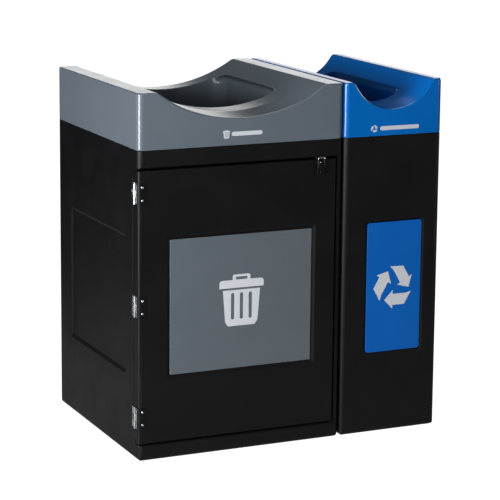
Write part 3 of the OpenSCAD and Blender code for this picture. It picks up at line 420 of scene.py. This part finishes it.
def hoodPoints(width, depth, high, h, s):
    # the hood's skin as one closed ring of profiles. A profile starts low in the chute, climbs to the
    # lip, crosses the top to the outer edge, goes down the outside, and comes back inside the wall
    outer, outerNormal = loopAround((0, width), (0, depth), h["corner"], s)
    throat, throatNormal = loopAround((h["throatInset"], width - h["throatInset"]),
                                      (h["throatFront"], depth - h["throatBack"]), h["throatCorner"], s)
    middle = width / 2
    heightAt = lambda p: scoopHeight(p[..., 0], p[..., 1], middle, high, h)
    columns = []

    def addColumn(flatPoint, z):
        columns.append(np.concatenate([flatPoint, np.broadcast_to(z, len(flatPoint))[:, None]], axis=1))

    lipRing = throat + h["lip"] * throatNormal
    edgeRing = outer - h["topEdge"] * outerNormal
    lipTop = heightAt(lipRing)
    for share in np.linspace(0, 1, s["chute"]):  # up the chute
        addColumn(throat, h["chuteLow"] + share * (lipTop - h["lip"] - h["chuteLow"]))
    for turn in np.linspace(0, math.pi / 2, s["fillet"] + 1)[1:]:  # over the lip
        ring = throat + h["lip"] * (1 - math.cos(turn)) * throatNormal
        addColumn(ring, heightAt(ring) - h["lip"] * (1 - math.sin(turn)))
    shares = np.sort(np.concatenate([s["topEnds"], np.linspace(0, 1, s["top"])[1:-1]]))
    for share in shares:  # across the top
        ring = lipRing + share * (edgeRing - lipRing)
        addColumn(ring, heightAt(ring))
    for turn in np.linspace(0, math.pi / 2, s["fillet"] + 1):  # over the outer edge
        ring = edgeRing + h["topEdge"] * math.sin(turn) * outerNormal
        addColumn(ring, heightAt(edgeRing) - h["topEdge"] * (1 - math.cos(turn)))
    edgeLow = heightAt(edgeRing) - h["topEdge"]
    for share in s["outside"]:  # down the outside
        addColumn(outer, edgeLow + share * (h["lowEdge"] - edgeLow))
    for turn in np.linspace(0, math.pi / 2, s["lowFillet"] + 1):  # round the lower edge
        ring = outer - h["lowEdge"] * (1 - math.cos(turn)) * outerNormal
        addColumn(ring, h["lowEdge"] * (1 - math.sin(turn)))
    wallRing = outer - h["wall"] * outerNormal
    for share in s["inside"]:  # up the inside
        addColumn(wallRing, share * edgeLow)
    backRing = throat + h["wall"] * throatNormal
    tuckRing = backRing + h["tuck"] * throatNormal
    for share in np.linspace(0, 1, s["top"] // 2):  # back under the top
        ring = edgeRing + share * (tuckRing - edgeRing)
        addColumn(ring, heightAt(ring) - h["wall"])
    underside = heightAt(backRing) - h["wall"] - h["underDrop"]
    for share in s["chuteBack"]:  # down the outside of the chute
        addColumn(backRing, underside + share * (h["chuteLow"] - underside))
    return np.stack(columns, axis=1)


def makeHood(name, node, h, material, bodyTop):
    low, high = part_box(node)
    size = (high - low) / mm
    points = hoodPoints(size.x, size.y, size.z, h, hoodSteps) * mm + np.array([low.x, low.y, bodyTop])
    addPiece(name, gridMesh(name, points), material, node)


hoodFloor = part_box("trash_hood")[0].z
makeHood("trashHoodShell", "trash_hood", greyHoodSet, hoodGrey, hoodFloor)
makeHood("recycleHoodShell", "recycle_hood", blueHoodSet, hoodBlue, hoodFloor)
print("hoods made")


# node: piece name, material, slot, edge rounding in mm, segments
finerSet = {
    "trash_body": ("trashCabinet", cabinetBlack, "black_plastic", 1.5, 3),
    "recycle_body": ("recycleCabinet", cabinetBlack, "black_plastic", 1.5, 3),
    "trash_door": ("trashDoor", doorBlack, "black_plastic", 1.8, 3),
    "trash_sign": ("trashSignPlate", signGrey, "grey_sign", 0.5, 2),
    "recycle_sign": ("recycleSignPlate", signBlue, "blue_sign", 0.5, 2),
    "trash_liner": ("trashLinerTub", linerGrey, "liner_plastic", 1.0, 2),
    "recycle_liner": ("recycleLinerTub", linerGrey, "liner_plastic", 1.0, 2),
    "door_hinge_leaves_door": ("doorHingeFrontLeaves", hingeCoat, "black_steel", 0.35, 2),
    "door_hinge_leaves_body": ("doorHingeRearLeaves", hingeCoat, "black_steel", 0.35, 2),
    "hood_hinge_leaves_body": ("hoodHingeLowLeaves", coatBlack, "black_steel", 0.25, 2),
    "hood_hinge_leaves_hood": ("hoodHingeHighLeaves", coatBlack, "black_steel", 0.25, 2),
    "latch_base": ("latchBasePlate", coatBlack, "black_steel", 0.25, 2),
    "latch_lever": ("latchLeverArm", coatBlack, "black_steel", 0.25, 2),
    "latch_keeper": ("latchKeeperPlate", coatBlack, "black_steel", 0.25, 2),
}
for node, (pieceName, material, slotName, edgeMm, segments) in finerSet.items():
    finerCopy(pieceName, node, material, edgeMm, segments)


def islandBoxes(node):
    # the low and high corners of each separate solid in a node: every corner takes the least number
    # among its neighbours until nothing changes, and corners that share a number are one solid
    shape = bmesh.new()
    shape.from_mesh(frame["nodes"][node].data)
    bmesh.ops.remove_doubles(shape, verts=shape.verts, dist=meshSet["weldMm"] * mm)
    corners = np.array([corner.co for corner in shape.verts])
    edges = np.array([[corner.index for corner in edge.verts] for edge in shape.edges])
    shape.free()
    label = np.arange(len(corners))
    before = None
    while before is None or (label != before).any():
        before = label.copy()
        least = np.minimum(label[edges[:, 0]], label[edges[:, 1]])
        np.minimum.at(label, edges[:, 0], least)
        np.minimum.at(label, edges[:, 1], least)
    return [(corners[label == k].min(axis=0), corners[label == k].max(axis=0)) for k in np.unique(label)]


screwSet = {
    "around": 48, "across": 20, "bulge": 2.4,  # how late the dome falls off
    "slotReach": 0.62, "slotHalf": 0.13, "slotDeep": 0.45,  # the cross recess, as shares of radius and height
    "slotEdge": 0.06, "slotEnd": 0.15,  # how softly the recess begins at its sides and at its ends
    "edge": 0.12, "underRim": 0.02, "shank": 0.48, "point": 0.8,
    "spin": 0.9,  # each screw's turn past the one before it, in radians
}


def screwForm(radius, high, length, s):
    # a pan head turned about its axis: the dome falls as a power of the radius, a cross is pressed into
    # it, its rim turns under to a plain shank, and the shank tapers to a blunt point. Metres, the axis
    # along X, the head towards -X
    turn = np.linspace(0, 2 * math.pi, s["around"], endpoint=False)[:, None]
    out = np.linspace(0, 1, s["across"])[None, :]
    dome = 1 - (1 - s["edge"]) * out ** s["bulge"]
    u, v = np.abs(out * np.cos(turn)), np.abs(out * np.sin(turn))
    sides = lambda a: np.clip((s["slotHalf"] - a) / s["slotEdge"], 0, 1)
    ends = lambda b: np.clip((s["slotReach"] - b) / s["slotEnd"], 0, 1)
    cross = np.maximum(sides(u) * ends(v), sides(v) * ends(u))
    face = high * (dome - s["slotDeep"] * cross)
    tip = high - length
    below = np.array([(1.0, 0.0), (s["shank"], 0.0), (s["shank"], -s["underRim"] * length),
                      (s["shank"] * s["point"], tip), (0.0, tip)])
    belowReach, belowAlong = (np.broadcast_to(below[:, k], (len(turn), len(below))) for k in (0, 1))
    reach = np.concatenate([np.broadcast_to(out, face.shape), belowReach], axis=1)
    along = np.concatenate([face, belowAlong], axis=1)
    return np.stack([-along, radius * reach * np.cos(turn), radius * reach * np.sin(turn)], axis=-1)


def makeScrews(name, node, headMm, s):
    # one screw in the place of each solid in the node, facing -Y, each turned a little further
    forms = []
    for number, (low, high) in enumerate(islandBoxes(node)):
        radius = (high[0] - low[0]) / 2
        form = screwForm(radius, headMm * mm, high[1] - low[1], s)
        spin = s["spin"] * number
        across = form[..., 1] * math.cos(spin) - form[..., 2] * math.sin(spin)
        upward = form[..., 1] * math.sin(spin) + form[..., 2] * math.cos(spin)
        centre = (low + high) / 2
        depth = low[1] + headMm * mm + form[..., 0]
        forms.append(np.stack([centre[0] + across, depth, centre[2] + upward], axis=-1))
    mesh = gridMesh(name, np.array(forms), closedAcross=False)
    closePoles(mesh)
    addPiece(name, mesh, zincSteel, node)


makeScrews("doorHingeScrews", "door_screws", 2.0, screwSet)
makeScrews("latchBaseScrews", "latch_screws", 0.8, screwSet)

# CAD nodes whose form is already right keep it, with the real finish
keptSet = {
    filmWhite: ("trash_sign_icon", "trash_hood_icon", "recycle_sign_icon", "recycle_hood_icon"),
    foamBlack: ("trash_sign_tapes", "recycle_sign_tapes"),
    bailCoat: ("latch_bail",),
    zincSteel: ("hood_screws", "door_hinge_pins", "body_screws", "latch_pin", "keeper_screws",
                "hood_hinge_pins", "hood_hinge_screws_body", "hood_hinge_screws_hood", "joining_bolts",
                "joining_nuts"),
    linerGrey: ("joining_spacers",),
}
for material, nodes in keptSet.items():
    for node in nodes:
        kept = frame["nodes"][node].data
        kept.materials.clear()
        kept.materials.append(material)
print("cabinets and fittings dressed")


studioSet = {
    "floorSize": 60, "floorDrop": 0.0002,  # metres
    "floorGlow": 1.1, "floorShade": "#4a4b4c",
    "paintedPool": 0.28, "paintedPoolNear": 0.9, "paintedPoolFar": 2.7,  # a painted pool of glow on the floor near the object, standing in for light the floor throws back
    "band": 1.9, "bandTop": (0.27, 0.21), "bandWide": (0.82, 0.92),  # a bright low band, and its soft edges
    "bandTurn": 0.60,  # its middle, in radians right of +Y
    "overhead": 0.04,
}


def makeFloor(s):
    # a wide white sheet. What the lens sees is plain white. Towards the object the sheet glows with a painted
    # pool of light that fades with distance, standing in for the light it would throw back
    half = s["floorSize"] / 2
    mesh = bpy.data.meshes.new("paperFloor")
    corners = [(-half, -half, 0), (half, -half, 0), (half, half, 0), (-half, half, 0)]
    mesh.from_pydata(corners, [], [(0, 1, 2, 3)])
    floor = bpy.data.objects.new("paperFloor", mesh)
    scene.collection.objects.link(floor)
    floor.location.z = -s["floorDrop"]
    material, tree = newMaterial("whitePaper")
    place = addNode(tree, "ShaderNodeTexCoord").outputs["Object"]
    reach = addNode(tree, "ShaderNodeVectorMath", {"operation": "LENGTH"}, {0: place})
    # painted glow: for rays other than the camera's, the floor emits a pool of light round the object in
    # place of bounced light
    paintedPool = addNode(tree, "ShaderNodeMapRange",
                   {"interpolation_type": "SMOOTHSTEP", "From Min": s["paintedPoolNear"], "From Max": s["paintedPoolFar"],
                    "To Min": s["paintedPool"], "To Max": 0.0}, {"Value": reach.outputs["Value"]})
    paper = addNode(tree, "ShaderNodeBsdfDiffuse", {"Color": linearColour(s["floorShade"])})
    paintedPoolGlow = addNode(tree, "ShaderNodeEmission", {}, {"Strength": paintedPool.outputs[0]})
    glow = addNode(tree, "ShaderNodeEmission", {"Strength": s["floorGlow"]})
    paperAndPaintedPool = addNode(tree, "ShaderNodeAddShader", {}, {0: paper.outputs[0], 1: paintedPoolGlow.outputs[0]})
    shown = addNode(tree, "ShaderNodeAddShader", {}, {0: paper.outputs[0], 1: glow.outputs[0]})
    seen = addNode(tree, "ShaderNodeLightPath").outputs["Is Camera Ray"]
    both = addNode(tree, "ShaderNodeMixShader", {}, {0: seen, 1: paperAndPaintedPool.outputs[0], 2: shown.outputs[0]})
    addNode(tree, "ShaderNodeOutputMaterial", {}, {"Surface": both.outputs[0]})
    mesh.materials.append(material)


def makeWorld(s):
    # a dim dome with one bright low band on the far right, where a white wall would stand
    world = bpy.data.worlds.new("studioDome")
    scene.world = world
    world.use_nodes = True
    tree = world.node_tree
    tree.nodes.clear()
    way = addNode(tree, "ShaderNodeTexCoord").outputs["Generated"]
    split = addNode(tree, "ShaderNodeSeparateXYZ", {}, {"Vector": way})
    low = addNode(tree, "ShaderNodeMapRange", {"From Min": s["bandTop"][0], "From Max": s["bandTop"][1]},
                  {"Value": split.outputs["Z"]})
    middle = (math.sin(s["bandTurn"]), math.cos(s["bandTurn"]), 0)
    towards = addNode(tree, "ShaderNodeVectorMath", {"operation": "DOT_PRODUCT", 1: middle}, {0: way})
    side = addNode(tree, "ShaderNodeMapRange", {"From Min": s["bandWide"][0], "From Max": s["bandWide"][1]},
                   {"Value": towards.outputs["Value"]})
    band = addNode(tree, "ShaderNodeMath", {"operation": "MULTIPLY"}, {0: low.outputs[0], 1: side.outputs[0]})
    level = addNode(tree, "ShaderNodeMath", {"operation": "MULTIPLY_ADD", 1: s["band"], 2: s["overhead"]},
                    {0: band.outputs[0]})
    light = addNode(tree, "ShaderNodeBackground", {}, {"Strength": level.outputs[0]})
    addNode(tree, "ShaderNodeOutputWorld", {}, {"Surface": light.outputs[0]})


# name: (place in metres, aimed at, width, height, watts)
lampSet = {
    "frontSoftbox": ((-2.2, -4.2, 1.4), (0, 0, 0.7), 2.6, 1.4, 64),
    "leftSoftbox": ((-3.2, -1.7, 1.05), (-0.3, 0, 0.8), 1.6, 1.6, 180),
    "rearTopStrip": ((1.2, 1.6, 3.6), (0, -0.3, 1.0), 1.7, 0.8, 34),
    "rightSoftbox": ((3.2, -2.6, 1.2), (0.2, -0.3, 0.8), 1.2, 1.2, 13),
    "farRightSoftbox": ((3.8, 1.4, 1.6), (0.3, 0, 0.6), 1.6, 1.2, 60),
}


def makeLamps(lamps):
    for name, (place, aim, width, height, watts) in lamps.items():
        lamp = bpy.data.lights.new(name, "AREA")
        lamp.shape, lamp.size, lamp.size_y, lamp.energy = "RECTANGLE", width, height, watts
        holder = bpy.data.objects.new(name, lamp)
        holder.location = place
        holder.rotation_mode = "QUATERNION"
        holder.rotation_quaternion = (Vector(aim) - Vector(place)).to_track_quat("-Z", "Y")
        holder.visible_camera = False
        scene.collection.objects.link(holder)


makeFloor(studioSet)
makeWorld(studioSet)
makeLamps(lampSet)
print("studio lit")
